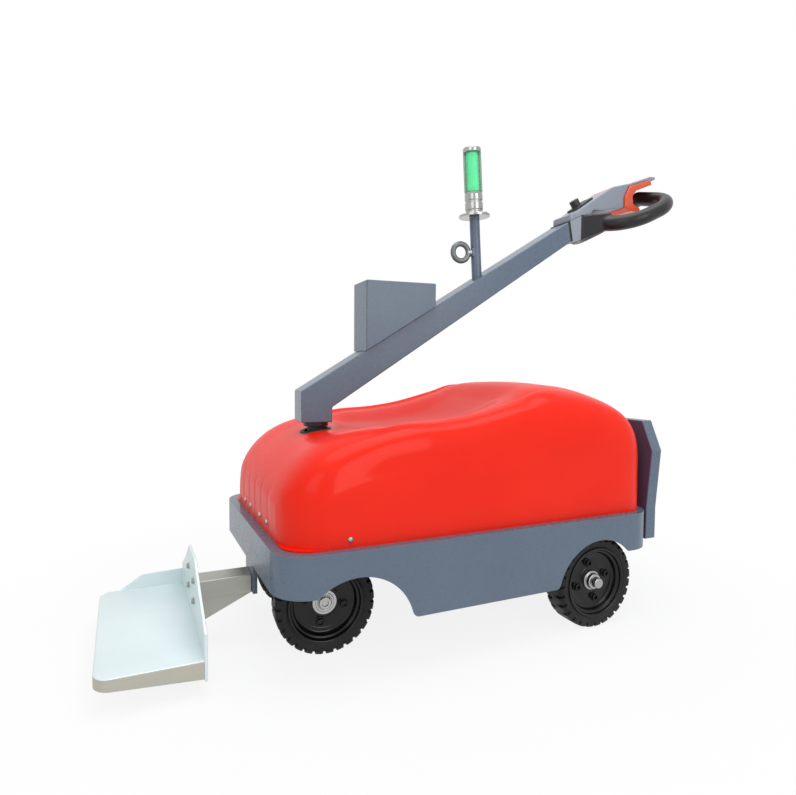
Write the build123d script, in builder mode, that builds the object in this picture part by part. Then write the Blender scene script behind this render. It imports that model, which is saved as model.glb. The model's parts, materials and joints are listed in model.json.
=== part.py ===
from build123d import *
from math import atan2, cos, degrees, radians, sin
import os

os.makedirs("parts", exist_ok=True)

# Frame: +X from the tow tray to the grip, -Y is the side seen, +Z up, ground at Z = 0. All in mm.

# Chassis skirt
SKIRT_FRONT = -420.25
SKIRT_LENGTH = 957.0
SKIRT_WIDTH = 620.0
SKIRT_CORNER = 75.0
SKIRT_PLATE = 6.0
SKIRT_TOP = 270.0
SKIRT_LOW = 117.0
NOSE_LOW = 186.0
TAIL_LOW = 180.0
RIM_FLANGE = 28.0
ARCH_R = 125.0
ARCH_Z = 92.0
ARCH_ROUND = 12.0
PLATE_GAP = 0.3

# Axles and steering: the steering axis from the skirt front, the rear axle from the skirt back
STEER_AT = 165.0
STEER_TURN = -4.0
AXLE_LEAD = 14.0
FRONT_ARCH_LEAD = 7.0
REAR_AXLE_BACK = 181.0
FRONT_TRACK = 270.0
REAR_INSET = 42.0
SPINDLE_R = 12.5
SHOULDER_R = 19.0
SHOULDER_GAP = 8.0
RUNNING_GAP = 0.05

# Wheels: radial and axial sizes, axial measured outwards from the wheel's middle
WHEEL_R = 110.5
TYRE_HALF = 30.0
TYRE_SHOULDER = 5.0
BEAD = 4.0
RIM_SEAT_R = 80.0
RIM_LIP_R = 84.0
RIM_LIP = 3.0
RIM_BARREL_R = 74.0
DISC_BACK = 2.0
DISC_FRONT = 8.0
HUB_R = 24.0
HUB_STEP = 4.0
HUB_FLANGE_R = 38.0
HUB_FLANGE = 6.0
HUB_INNER = 24.0
HUB_NOSE_R = 19.0
FRONT_HUB_END = 20.0
REAR_HUB_END = 38.0
HUB_CAP = 7.0
SPINDLE_END_GAP = 1.0

# Well, battery, decks and axle gear
DECK_DROP = 12.0
WELL_BEHIND_STEER = 200.0
WELL_BEFORE_AXLE = 126.0
BATTERY_GAP = 5.5
BATTERY_SIDE = 45.0
BATTERY_HEIGHT = 210.0
BATTERY_SEAM = 6.0
COLUMN_R = 20.0
COLUMN_HOLE_R = 30.0
BEARING_R = 60.0
BEARING_HEIGHT = 36.0
COLLAR_R = 29.5
COLLAR = 11.0
BOGIE_DROP = 14.0
BOGIE_PLATE = 12.0
BOGIE_LENGTH = 140.0
BOGIE_WIDTH = 110.0
BOGIE_FORK = 64.0
BOGIE_BELOW_AXLE = 32.0
BEAM = 50.0
BEAM_END_GAP = 19.0
DRIVE_LENGTH = 160.0
DRIVE_WIDTH = 140.0
DRIVE_HEIGHT = 110.0
DRIVE_LEAD = 10.0
HANGER_Y = 150.0
HANGER_LENGTH = 70.0
HANGER_WIDTH = 24.0

# Cover: the rise over the skirt that its sections take shares of, ends measured from the skirt's ends
COVER_RISE = 322.0
COVER_FRONT = 20.0
COVER_BACK = 7.0
COVER_SIDE = 22.0
COVER_WALL = 5.0
COVER_LEAN = 5.0
COLUMN_CLEAR = 6.0

# Tow hitch
DRAWBAR_WIDTH = 60.0
DRAWBAR_HEIGHT = 42.0
DRAWBAR_WALL = 4.0
DRAWBAR_LOW = 112.0
DRAWBAR_OUT = 115.0
GUSSET_WIDTH = 52.0
GUSSET_DROP = 55.0
FLANGE_PLATE = 10.0
FLANGE_WIDTH = 84.0
BACK_PLATE = 6.0
BACK_PLATE_RISE = 185.0
TRAY_LENGTH = 190.0
TRAY_INSET = 85.0
TRAY_TOP = 70.0
TRAY_SHEET = 5.0
TRAY_CORNER = 30.0
LIP_NOSE = 16.0
LIP_DROP = 42.0
CHEEK_RISE = 36.0
CHEEK_BACK = 45.0

# Rear panel
PANEL_INSET = 35.0
PANEL_LOW = 189.0
PANEL_RISE = 220.0
PANEL_THICK = 34.0
PANEL_LEAN = 22.0
PANEL_CHAMFER_WIDE = 42.0
PANEL_CHAMFER_HIGH = 74.0

# Tiller: u along the arm from the steering axis, heights from the foot
FOOT_GAP = 18.0
ARM_WIDTH = 80.0
ARM_TOE = 43.0
ARM_TOE_RISE = 73.0
ARM_HEEL = 31.0
ARM_HEEL_RISE = 35.0
ARM_REACH = 686.0
ARM_RISE = 525.0
ARM_END_DROP = 52.0
ARM_END_SHIFT = 10.0
BOX_WIDTH = 104.0
BOX_AT = 110.0
BOX_LENGTH = 179.0
BOX_OVER = 57.0

# Lamp post, eye and lamp, lengths along the leaning post
POST_AT = 429.0
POST_LEAN = -3.5
POST_R = 13.0
POST_LENGTH = 160.0
POST_FLANGE_R = 40.0
POST_FLANGE = 6.0
LAMP_R = 23.5
LAMP_WALL = 4.0
LAMP_CORE_GAP = 5.0
LAMP_FOOT_LENGTH = 57.0
LAMP_LENS_LENGTH = 100.0
LAMP_CAP_LENGTH = 15.0
EYE_RISE = 64.5
EYE_R = 29.0
EYE_HOLE_R = 14.0
EYE_THICK = 14.0
EYE_PAD = 2.0
EYE_PAD_WIDTH = 20.0
EYE_STEM_R = 8.0

# Grip: an oval ring on a flared yoke behind the neck
NECK_LENGTH = 42.0
NECK_RISE = 21.0
NECK_HEIGHT = 66.0
NECK_WIDTH = 80.0
GRIP_R = 20.0
GRIP_AHEAD = 183.4
GRIP_ABOVE = 57.4
GRIP_SLOPE = 25.6
GRIP_ALONG = 96.6
GRIP_ACROSS = 137.0
GRIP_CORNER = 80.0
GRIP_DROOP = 16.5
YOKE_LENGTH = 73.0
YOKE_WIDTH = 170.0
YOKE_HEIGHT = 40.0
YOKE_RISE = 6.0
HEAD_LENGTH = 290.0
HEAD_WIDTH = 80.0
PADDLE_WIDTH = 92.0
KEY_PLATE = (62.0, 44.0, 5.0)
KEY_KNOB_R = 13.0
KEY_KNOB_HEIGHT = 24.0
KEY_KNOB_BACK = 12.0

SKIRT_BACK = SKIRT_FRONT + SKIRT_LENGTH
SKIRT_HALF = SKIRT_WIDTH / 2
MID_X = (SKIRT_FRONT + SKIRT_BACK) / 2
STEER_X = SKIRT_FRONT + STEER_AT
FRONT_ARCH_X = STEER_X - FRONT_ARCH_LEAD
REAR_X = SKIRT_BACK - REAR_AXLE_BACK
REAR_TRACK = SKIRT_WIDTH - 2 * REAR_INSET
RIM_TOP_LOW = SKIRT_TOP - SKIRT_PLATE
DECK_LOW = SKIRT_TOP - DECK_DROP
WELL_FRONT = STEER_X + WELL_BEHIND_STEER
WELL_REAR = REAR_X - WELL_BEFORE_AXLE
BACK_PLATE_X = SKIRT_FRONT - DRAWBAR_OUT
DRAWBAR_LENGTH = DRAWBAR_OUT + SKIRT_PLATE
TRAY_END = BACK_PLATE_X - BACK_PLATE
TRAY_NOSE = TRAY_END - TRAY_LENGTH
TRAY_HALF = SKIRT_HALF - TRAY_INSET
TRAY_LOW = TRAY_TOP - LIP_DROP
COVER_DECK = 0.643
FOOT_Z = SKIRT_TOP + COVER_DECK * COVER_RISE + FOOT_GAP
ARM_END_Z = FOOT_Z + ARM_RISE
STEER = Location((STEER_X, 0, 0), (0, 0, STEER_TURN))
TURN = radians(STEER_TURN)
TILLER_SIDE = Plane(origin=(STEER_X, 0, 0), x_dir=(cos(TURN), sin(TURN), 0),
                    z_dir=(sin(TURN), -cos(TURN), 0))
ON_BASE = (Align.CENTER, Align.CENTER, Align.MIN)
UNDER_TOP = (Align.CENTER, Align.CENTER, Align.MAX)


def hand_over(builder, name):
    builder.part.label = name
    export_step(builder.part, f"parts/{name}.step")


def arch_half(z):
    """Half width of a wheel arch at height z."""
    return (ARCH_R**2 - (z - ARCH_Z) ** 2) ** 0.5


def arm_top(u):
    """Height of the arm's upper edge at u."""
    low = FOOT_Z + ARM_TOE_RISE
    return low + (ARM_END_Z - low) * (u + ARM_TOE) / (ARM_REACH + ARM_TOE)


def from_arm_end(points):
    """Offsets from the arm's upper end moved to the tiller's (u, z)."""
    return [(ARM_REACH + ahead, ARM_END_Z + above) for ahead, above in points]


# Skirt: a rounded ring with an inward rim flange, cut to its wheel arches
with BuildPart() as skirt:
    with BuildSketch(Plane.XY.offset(SKIRT_LOW)):
        with Locations((MID_X, 0)):
            RectangleRounded(SKIRT_LENGTH, SKIRT_WIDTH, SKIRT_CORNER)
    extrude(amount=SKIRT_TOP - SKIRT_LOW)
    for inset, low, high in ((SKIRT_PLATE, SKIRT_LOW, RIM_TOP_LOW), (RIM_FLANGE, RIM_TOP_LOW, SKIRT_TOP)):
        with BuildSketch(Plane.XY.offset(low)):
            with Locations((MID_X, 0)):
                RectangleRounded(SKIRT_LENGTH - 2 * inset, SKIRT_WIDTH - 2 * inset, SKIRT_CORNER - inset)
        extrude(amount=high - low, mode=Mode.SUBTRACT)
    front_a = (FRONT_ARCH_X - arch_half(NOSE_LOW), NOSE_LOW)
    front_b = (FRONT_ARCH_X + arch_half(SKIRT_LOW), SKIRT_LOW)
    rear_a = (REAR_X - arch_half(SKIRT_LOW), SKIRT_LOW)
    rear_b = (REAR_X + arch_half(TAIL_LOW), TAIL_LOW)
    crown = ARCH_Z + ARCH_R
    with BuildSketch(Plane.XZ) as outline:
        with BuildLine():
            Polyline(front_a, (SKIRT_FRONT, NOSE_LOW), (SKIRT_FRONT, SKIRT_TOP), (SKIRT_BACK, SKIRT_TOP),
                     (SKIRT_BACK, TAIL_LOW), rear_b)
            ThreePointArc(rear_b, (REAR_X, crown), rear_a)
            Line(rear_a, front_b)
            ThreePointArc(front_b, (FRONT_ARCH_X, crown), front_a)
        make_face()
        fillet(outline.vertices().group_by(Axis.Y)[0], ARCH_ROUND)
    extrude(amount=SKIRT_WIDTH, both=True, mode=Mode.INTERSECT)
hand_over(skirt, "skirt")

# Decks under the rim flange; the front one is open for the steering column
DECKS = (
    # name, from, to, open for the column
    ("front_deck", SKIRT_FRONT, WELL_FRONT + SKIRT_PLATE, True),
    ("rear_deck", WELL_REAR - SKIRT_PLATE, SKIRT_BACK, False),
)
DECK_INSET = SKIRT_PLATE + PLATE_GAP
for name, low_x, high_x, is_open in DECKS:
    with BuildPart() as deck:
        with BuildSketch(Plane.XY.offset(DECK_LOW)):
            with Locations((MID_X, 0)):
                RectangleRounded(SKIRT_LENGTH - 2 * DECK_INSET, SKIRT_WIDTH - 2 * DECK_INSET,
                                 SKIRT_CORNER - DECK_INSET)
            with Locations(((low_x + high_x) / 2, 0)):
                Rectangle(high_x - low_x, SKIRT_WIDTH, mode=Mode.INTERSECT)
            if is_open:
                with Locations((STEER_X, 0)):
                    Circle(COLUMN_HOLE_R, mode=Mode.SUBTRACT)
        extrude(amount=RIM_TOP_LOW - DECK_LOW)
    hand_over(deck, name)

# Battery well between the axles and the battery standing in it
WELL_FLOOR = SKIRT_LOW + SKIRT_PLATE
with BuildPart() as belly_pan:
    with BuildSketch(Plane.XZ):
        with BuildLine():
            Polyline((WELL_FRONT, SKIRT_LOW), (WELL_REAR, SKIRT_LOW), (WELL_REAR, DECK_LOW),
                     (WELL_REAR - SKIRT_PLATE, DECK_LOW), (WELL_REAR - SKIRT_PLATE, WELL_FLOOR),
                     (WELL_FRONT + SKIRT_PLATE, WELL_FLOOR), (WELL_FRONT + SKIRT_PLATE, DECK_LOW),
                     (WELL_FRONT, DECK_LOW), close=True)
        make_face()
    extrude(amount=SKIRT_HALF - SKIRT_PLATE, both=True)
hand_over(belly_pan, "belly_pan")

BATTERY_LENGTH = WELL_REAR - WELL_FRONT - 2 * (SKIRT_PLATE + BATTERY_GAP)
with BuildPart() as battery_pack:
    with Locations(((WELL_FRONT + WELL_REAR) / 2, 0, WELL_FLOOR)):
        Box(BATTERY_LENGTH, SKIRT_WIDTH - 2 * BATTERY_SIDE, BATTERY_HEIGHT, align=ON_BASE)
        with Locations((0, 0, BATTERY_HEIGHT)):
            Box(BATTERY_LENGTH, BATTERY_SEAM, BATTERY_SEAM, align=UNDER_TOP, mode=Mode.SUBTRACT)
hand_over(battery_pack, "battery_pack")

# Cover: cross sections along X, each with a side wall, a rounded shoulder, a ridge and a dished middle
COVER_SECTIONS = (
    # share of length, inset of the side, ridge and middle as shares of the rise, shoulder
    (0.0, 92, 0.248, 0.261, 28),
    (0.0085, 60, 0.323, 0.335, 40),
    (0.0265, 34, 0.410, 0.422, 54),
    (0.053, 14, 0.497, 0.503, 66),
    (0.090, 2, 0.581, 0.578, 78),
    (0.138, 0, 0.646, 0.630, 84),
    (0.202, 0, 0.689, 0.643, 88),
    (0.297, 0, 0.736, 0.646, 90),
    (0.403, 0, 0.755, 0.652, 90),
    (0.509, 0, 0.801, 0.700, 90),
    (0.615, 0, 0.872, 0.820, 90),
    (0.711, 0, 0.945, 0.955, 90),
    (0.797, 0, 0.935, 0.965, 88),
    (0.880, 1, 0.875, 0.915, 84),
    (0.934, 4, 0.800, 0.845, 74),
    (0.967, 12, 0.710, 0.740, 62),
    (0.990, 28, 0.600, 0.620, 46),
    (1.0, 46, 0.497, 0.505, 34),
)
COVER_LENGTH = SKIRT_LENGTH - COVER_FRONT - COVER_BACK
COVER_HALF = SKIRT_HALF - COVER_SIDE
COVER_SKINS = (
    # build mode, wall taken off each end, the sides and the top
    (Mode.ADD, 0.0),
    (Mode.SUBTRACT, COVER_WALL),
)


def cover_section(half, ridge, middle, shoulder):
    """Half profile of one cross section from the base to the middle, as (y, height over the base)."""
    wall_top = ridge - shoulder
    crest = half - COVER_LEAN - shoulder
    corner = 0.29 * shoulder
    return [(half, 0), (half - 0.4 * COVER_LEAN, wall_top / 2), (half - COVER_LEAN, wall_top),
            (half - COVER_LEAN - corner, ridge - corner), (crest, ridge),
            (crest / 2, ridge + (middle - ridge) * 0.78), (0, middle)]


with BuildPart() as cover:
    for skin_mode, wall in COVER_SKINS:
        across = 1 - wall / COVER_HALF
        upward = 1 - wall / (COVER_DECK * COVER_RISE)
        for share, inset, ridge, middle, shoulder in COVER_SECTIONS:
            x_here = SKIRT_FRONT + COVER_FRONT + wall + share * (COVER_LENGTH - 2 * wall)
            section = cover_section(COVER_HALF - inset, ridge * COVER_RISE, middle * COVER_RISE, shoulder)
            right = [(y * across, SKIRT_TOP + z * upward) for y, z in section]
            points = right + [(-y, z) for y, z in reversed(right[:-1])]
            with BuildSketch(Plane(origin=(x_here, 0, 0), x_dir=(0, 1, 0), z_dir=(1, 0, 0))):
                with BuildLine():
                    Spline(*points)
                    Line(points[-1], points[0])
                make_face()
        loft(mode=skin_mode)
    with Locations((STEER_X, 0, SKIRT_TOP)):
        Cylinder(COLUMN_R + COLUMN_CLEAR, COVER_RISE, align=ON_BASE, mode=Mode.SUBTRACT)
hand_over(cover, "cover")

# Upright panel behind the cover, leaning back, with its top corners cut off
PANEL_HALF = SKIRT_HALF - PANEL_INSET
PANEL_TOP = SKIRT_TOP + PANEL_RISE
with BuildPart() as rear_panel:
    with BuildSketch(Plane.XZ):
        with BuildLine():
            Polyline((SKIRT_BACK, PANEL_LOW), (SKIRT_BACK, SKIRT_TOP), (SKIRT_BACK + PANEL_LEAN, PANEL_TOP),
                     (SKIRT_BACK + PANEL_LEAN + PANEL_THICK, PANEL_TOP),
                     (SKIRT_BACK + PANEL_THICK, SKIRT_TOP), (SKIRT_BACK + PANEL_THICK, PANEL_LOW), close=True)
        make_face()
    extrude(amount=PANEL_HALF, both=True)
    with BuildSketch(Plane.YZ.offset(SKIRT_BACK)):
        for hand in (-1, 1):
            with BuildLine():
                Polyline((hand * PANEL_HALF, PANEL_TOP - PANEL_CHAMFER_HIGH), (hand * PANEL_HALF, PANEL_TOP),
                         (hand * (PANEL_HALF - PANEL_CHAMFER_WIDE), PANEL_TOP), close=True)
            make_face()
    extrude(amount=PANEL_LEAN + PANEL_THICK, mode=Mode.SUBTRACT)
hand_over(rear_panel, "rear_panel")

# Drawbar: it passes under the nose to a flange hung from the front deck behind the skirt, with a gusset below
with BuildPart() as drawbar_flange:
    with Locations((SKIRT_FRONT + SKIRT_PLATE, 0, DRAWBAR_LOW)):
        Box(FLANGE_PLATE, FLANGE_WIDTH, DECK_LOW - DRAWBAR_LOW, align=(Align.MIN, Align.CENTER, Align.MIN))
hand_over(drawbar_flange, "drawbar_flange")

with BuildPart() as drawbar_tube:
    with BuildSketch(Plane.YZ.offset(BACK_PLATE_X)):
        with Locations((0, DRAWBAR_LOW + DRAWBAR_HEIGHT / 2)):
            Rectangle(DRAWBAR_WIDTH, DRAWBAR_HEIGHT)
            Rectangle(DRAWBAR_WIDTH - 2 * DRAWBAR_WALL, DRAWBAR_HEIGHT - 2 * DRAWBAR_WALL,
                      mode=Mode.SUBTRACT)
    extrude(amount=DRAWBAR_LENGTH)
hand_over(drawbar_tube, "drawbar_tube")

with BuildPart() as drawbar_gusset:
    with BuildSketch(Plane.XZ):
        with BuildLine():
            Polyline((BACK_PLATE_X, DRAWBAR_LOW), (BACK_PLATE_X + DRAWBAR_LENGTH, DRAWBAR_LOW),
                     (BACK_PLATE_X, DRAWBAR_LOW - GUSSET_DROP), close=True)
        make_face()
    extrude(amount=GUSSET_WIDTH / 2, both=True)
hand_over(drawbar_gusset, "drawbar_gusset")

# Tray back plate: its top falls in two steps from the middle to the cheeks
BACK_PLATE_STEPS = (
    # share of half width, share of rise
    (1.0, 0.0), (1.0, 0.5), (0.6, 0.74), (0.25, 1.0),
)
with BuildPart() as tray_back_plate:
    near = [(-wide * TRAY_HALF, TRAY_LOW + high * BACK_PLATE_RISE) for wide, high in BACK_PLATE_STEPS]
    with BuildSketch(Plane.YZ.offset(TRAY_END)):
        with BuildLine():
            Polyline(near + [(-y, z) for y, z in reversed(near)], close=True)
        make_face()
    extrude(amount=BACK_PLATE)
hand_over(tray_back_plate, "tray_back_plate")

# Tow tray: a flat plate with rounded front corners, lips that deepen to the back and a cheek on the far side
with BuildPart() as tow_tray:
    with BuildSketch(Plane.XY.offset(TRAY_LOW)) as floor:
        with Locations(((TRAY_NOSE + TRAY_END) / 2, 0)):
            Rectangle(TRAY_LENGTH, 2 * TRAY_HALF)
        fillet(floor.vertices().group_by(Axis.X)[0], TRAY_CORNER)
    extrude(amount=LIP_DROP)
    with Locations(((TRAY_NOSE + TRAY_END) / 2, 0, TRAY_TOP - TRAY_SHEET)):
        Box(TRAY_LENGTH, 2 * (TRAY_HALF - TRAY_SHEET), LIP_DROP, align=UNDER_TOP, mode=Mode.SUBTRACT)
    with BuildSketch(Plane.XZ):
        with BuildLine():
            Polyline((TRAY_NOSE, TRAY_TOP - LIP_NOSE), (TRAY_END, TRAY_LOW), (TRAY_NOSE, TRAY_LOW),
                     close=True)
        make_face()
    extrude(amount=TRAY_HALF, both=True, mode=Mode.SUBTRACT)
    with BuildSketch(Plane.XZ.offset(-TRAY_HALF)):
        with BuildLine():
            Polyline((TRAY_NOSE + CHEEK_BACK, TRAY_TOP), (TRAY_END, TRAY_TOP),
                     (TRAY_END, TRAY_TOP + CHEEK_RISE),
                     ((TRAY_NOSE + TRAY_END) / 2, TRAY_TOP + 0.9 * CHEEK_RISE), close=True)
        make_face()
    extrude(amount=TRAY_SHEET)
hand_over(tow_tray, "tow_tray")

# Rear axle: square beam with spindles and the drive case, hung from the deck by two blocks
BEAM_HALF = REAR_TRACK / 2 - HUB_INNER - BEAM_END_GAP
with BuildPart() as rear_axle:
    with Locations((REAR_X, 0, WHEEL_R)):
        Box(BEAM, 2 * BEAM_HALF, BEAM)
        with Locations((-DRIVE_LEAD, 0, 0)):
            Box(DRIVE_LENGTH, DRIVE_WIDTH, DRIVE_HEIGHT)
    for hand in (-1, 1):
        for radius, reach in ((SHOULDER_R, REAR_TRACK / 2 - HUB_INNER - SHOULDER_GAP),
                              (SPINDLE_R, REAR_TRACK / 2 + REAR_HUB_END - HUB_CAP - SPINDLE_END_GAP)):
            with Locations((REAR_X, hand * reach / 2, WHEEL_R)):
                Cylinder(radius, reach, rotation=(90, 0, 0))
hand_over(rear_axle, "rear_axle")

BEAM_TOP = WHEEL_R + BEAM / 2
for name, hand in (("axle_hanger_near", -1), ("axle_hanger_far", 1)):
    with BuildPart() as hanger:
        with Locations((REAR_X, hand * HANGER_Y, BEAM_TOP)):
            Box(HANGER_LENGTH, HANGER_WIDTH, DECK_LOW - BEAM_TOP, align=ON_BASE)
    hand_over(hanger, name)

with BuildPart() as steer_bearing:
    with Locations((STEER_X, 0, RIM_TOP_LOW)):
        Cylinder(BEARING_R, BEARING_HEIGHT, align=ON_BASE)
        Cylinder(COLUMN_R + RUNNING_GAP, BEARING_HEIGHT, align=ON_BASE, mode=Mode.SUBTRACT)
hand_over(steer_bearing, "steer_bearing")

# Steered body: bogie, column, collar, tiller
BOGIE_TOP = DECK_LOW - BOGIE_DROP
with BuildPart() as steer_bogie:
    with Locations(STEER * Location((-AXLE_LEAD, 0, BOGIE_TOP))):
        Box(BOGIE_LENGTH, BOGIE_WIDTH, BOGIE_PLATE, align=UNDER_TOP)
        Box(BOGIE_FORK, BOGIE_WIDTH, BOGIE_TOP - WHEEL_R + BOGIE_BELOW_AXLE, align=UNDER_TOP)
    for hand in (-1, 1):
        for radius, reach in ((SHOULDER_R, FRONT_TRACK / 2 - HUB_INNER - SHOULDER_GAP),
                              (SPINDLE_R, FRONT_TRACK / 2 + FRONT_HUB_END - HUB_CAP - SPINDLE_END_GAP)):
            with Locations(STEER * Location((-AXLE_LEAD, hand * reach / 2, WHEEL_R))):
                Cylinder(radius, reach, rotation=(90, 0, 0))
hand_over(steer_bogie, "steer_bogie")

with BuildPart() as steer_column:
    with Locations((STEER_X, 0, BOGIE_TOP)):
        Cylinder(COLUMN_R, FOOT_Z - BOGIE_TOP, align=ON_BASE)
hand_over(steer_column, "steer_column")

with BuildPart() as column_collar:
    with Locations((STEER_X, 0, FOOT_Z)):
        Cylinder(COLLAR_R, COLLAR, align=UNDER_TOP)
        Cylinder(COLUMN_R + PLATE_GAP, COLLAR, align=UNDER_TOP, mode=Mode.SUBTRACT)
hand_over(column_collar, "column_collar")

# Tiller pieces drawn in the arm's own upright plane; the head rests on the neck and on the yoke
BOX_END = BOX_AT + BOX_LENGTH
BOX_TOP = arm_top(BOX_END) + BOX_OVER
REST = 0.37
HEAD_FOOT = [(NECK_LENGTH + REST * YOKE_LENGTH, NECK_RISE + REST * YOKE_RISE), (NECK_LENGTH, NECK_RISE),
             (0.1 * NECK_LENGTH, 0.1 * NECK_RISE)]


def head(shares):
    """Shares of the head's length, ahead of and above the arm's upper end, as offsets."""
    return [(ahead * HEAD_LENGTH, above * HEAD_LENGTH) for ahead, above in shares]


KEY_SLOPE_ENDS = head([(0.093, 0.107), (0.359, 0.290)])
HEAD_TOP = head([(0.497, 0.376), (0.697, 0.431), (0.945, 0.524), (1.0, 0.531), (1.01, 0.5)])
HEAD_FACE = head([(0.931, 0.486), (0.686, 0.4), (0.628, 0.286), (0.628, 0.193)])
HEAD_UNDER = head([(0.393, 0.138), (0.276, 0.131)])
PADDLE_INNER = head([(0.690, 0.159), (0.810, 0.166), (0.810, 0.2), (0.731, 0.228), (0.717, 0.303),
                     (0.766, 0.366), (0.952, 0.441)])
TILLER_PIECES = (
    # name, width, outline as (u, z)
    ("tiller_arm", ARM_WIDTH,
     [(-ARM_TOE, FOOT_Z), (ARM_HEEL, FOOT_Z), (ARM_HEEL, FOOT_Z + ARM_HEEL_RISE),
      (ARM_REACH + ARM_END_SHIFT, ARM_END_Z - ARM_END_DROP), (ARM_REACH, ARM_END_Z),
      (-ARM_TOE, FOOT_Z + ARM_TOE_RISE)]),
    ("control_box", BOX_WIDTH,
     [(BOX_AT, arm_top(BOX_AT)), (BOX_END, arm_top(BOX_END)), (BOX_END, BOX_TOP), (BOX_AT, BOX_TOP)]),
    ("tiller_neck", NECK_WIDTH,
     from_arm_end([(ARM_END_SHIFT, -ARM_END_DROP), (NECK_LENGTH, NECK_RISE - NECK_HEIGHT),
                   (NECK_LENGTH, NECK_RISE), (0, 0)])),
    ("tiller_head", HEAD_WIDTH,
     from_arm_end([(0.1 * NECK_LENGTH, NECK_RISE)] + KEY_SLOPE_ENDS + HEAD_TOP + HEAD_FACE + HEAD_UNDER
                  + HEAD_FOOT)),
    ("paddle", PADDLE_WIDTH, from_arm_end(PADDLE_INNER + HEAD_FACE)),
)
for name, width, outline_uz in TILLER_PIECES:
    with BuildPart() as piece:
        with BuildSketch(TILLER_SIDE):
            with BuildLine():
                Polyline(outline_uz, close=True)
            make_face()
        extrude(amount=width / 2, both=True)
    hand_over(piece, name)

# Grip: a flared yoke opened by the oval, and the tube round it in two halves whose sides droop
NECK_END = ARM_REACH + NECK_LENGTH
YOKE_SECTIONS = (
    # u, top, height, width
    (NECK_END, ARM_END_Z + NECK_RISE, NECK_HEIGHT, NECK_WIDTH),
    (NECK_END + YOKE_LENGTH, ARM_END_Z + NECK_RISE + YOKE_RISE, YOKE_HEIGHT, YOKE_WIDTH),
)
GRIP = STEER * Location((ARM_REACH + GRIP_AHEAD, 0, ARM_END_Z + GRIP_ABOVE), (0, -GRIP_SLOPE, 0))
CROSS_BAR = GRIP_ACROSS - GRIP_CORNER
SIDE_BAR = GRIP_ALONG - GRIP_CORNER
CORNERS = (
    # side, end, start of the quarter turn
    (-1, -1, 180),
    (-1, 1, 270),
    (1, -1, 90),
    (1, 1, 0),
)
with BuildPart() as grip_loop:
    for u, top, height, width in YOKE_SECTIONS:
        with BuildSketch(Plane(STEER * Location((u, 0, top - height / 2), (0, 90, 0)))):
            Rectangle(height, width)
    loft(ruled=True)
    with BuildSketch(Plane(GRIP)):
        RectangleRounded(2 * GRIP_ALONG - GRIP_R, 2 * GRIP_ACROSS - GRIP_R, GRIP_CORNER - GRIP_R / 2)
    extrude(amount=NECK_HEIGHT, both=True, mode=Mode.SUBTRACT)
    for hand, end, start in CORNERS:
        half = GRIP * Location((0, 0, 0), (-hand * GRIP_DROOP, 0, 0))
        with Locations(half * Location((end * SIDE_BAR, hand * CROSS_BAR, 0), (0, 0, start))):
            Torus(GRIP_CORNER, GRIP_R, major_angle=90, align=None)
        with Locations(half * Location((end * GRIP_ALONG, hand * CROSS_BAR / 2, 0), (90, 0, 0))):
            Cylinder(GRIP_R, CROSS_BAR)
        with Locations(half * Location((end * SIDE_BAR / 2, hand * GRIP_ACROSS, 0), (0, 90, 0))):
            Cylinder(GRIP_R, SIDE_BAR)
    with Locations(GRIP * Location((-GRIP_ALONG, 0, 0)), GRIP * Location((GRIP_ALONG, 0, 0))):
        Sphere(GRIP_R)
hand_over(grip_loop, "grip_loop")

# Key switch on the first slope of the head
KEY_LOW, KEY_HIGH = from_arm_end(KEY_SLOPE_ENDS)
KEY_SLOPE = degrees(atan2(KEY_HIGH[1] - KEY_LOW[1], KEY_HIGH[0] - KEY_LOW[0]))
KEY_MID = ((KEY_LOW[0] + KEY_HIGH[0]) / 2, (KEY_LOW[1] + KEY_HIGH[1]) / 2)
with BuildPart() as key_switch:
    with Locations(STEER * Location((KEY_MID[0], 0, KEY_MID[1]), (0, -KEY_SLOPE, 0))):
        Box(*KEY_PLATE, align=ON_BASE)
        with Locations((-KEY_KNOB_BACK, 0, 0)):
            Cylinder(KEY_KNOB_R, KEY_KNOB_HEIGHT, align=ON_BASE)
hand_over(key_switch, "key_switch")

# Lamp post standing on the arm, with the lamp's flange on top and a flat pad for the eye in front
LAMP = STEER * Location((POST_AT, 0, arm_top(POST_AT)), (0, POST_LEAN, 0))
ARM_SLOPE = degrees(atan2(arm_top(ARM_REACH) - arm_top(0), ARM_REACH))
ARM_TOP_PLANE = Plane(STEER * Location((0, 0, arm_top(0)), (0, -ARM_SLOPE, 0)))
PAD_FACE = POST_R + EYE_PAD
EYE = LAMP * Location((-PAD_FACE - EYE_R, 0, EYE_RISE))
with BuildPart() as lamp_post:
    with Locations(LAMP * Location((0, 0, POST_LENGTH))):
        Cylinder(POST_R, POST_LENGTH + 2 * POST_R, align=UNDER_TOP)
        Cylinder(POST_FLANGE_R, POST_FLANGE, align=UNDER_TOP)
    with Locations(LAMP * Location((-PAD_FACE, 0, EYE_RISE))):
        Box(PAD_FACE, EYE_PAD_WIDTH, EYE_PAD_WIDTH, align=(Align.MIN, Align.CENTER, Align.CENTER))
    split(bisect_by=ARM_TOP_PLANE, keep=Keep.TOP)
hand_over(lamp_post, "lamp_post")

with BuildPart() as eye_bolt:
    with Locations(EYE):
        Cylinder(EYE_R, EYE_THICK, rotation=(90, 0, 0))
        with Locations((EYE_R, 0, 0)):
            Cylinder(EYE_STEM_R, EYE_R - EYE_HOLE_R, rotation=(0, 90, 0), align=UNDER_TOP)
        Cylinder(EYE_HOLE_R, 2 * EYE_R, rotation=(90, 0, 0), mode=Mode.SUBTRACT)
hand_over(eye_bolt, "eye_bolt")

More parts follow.
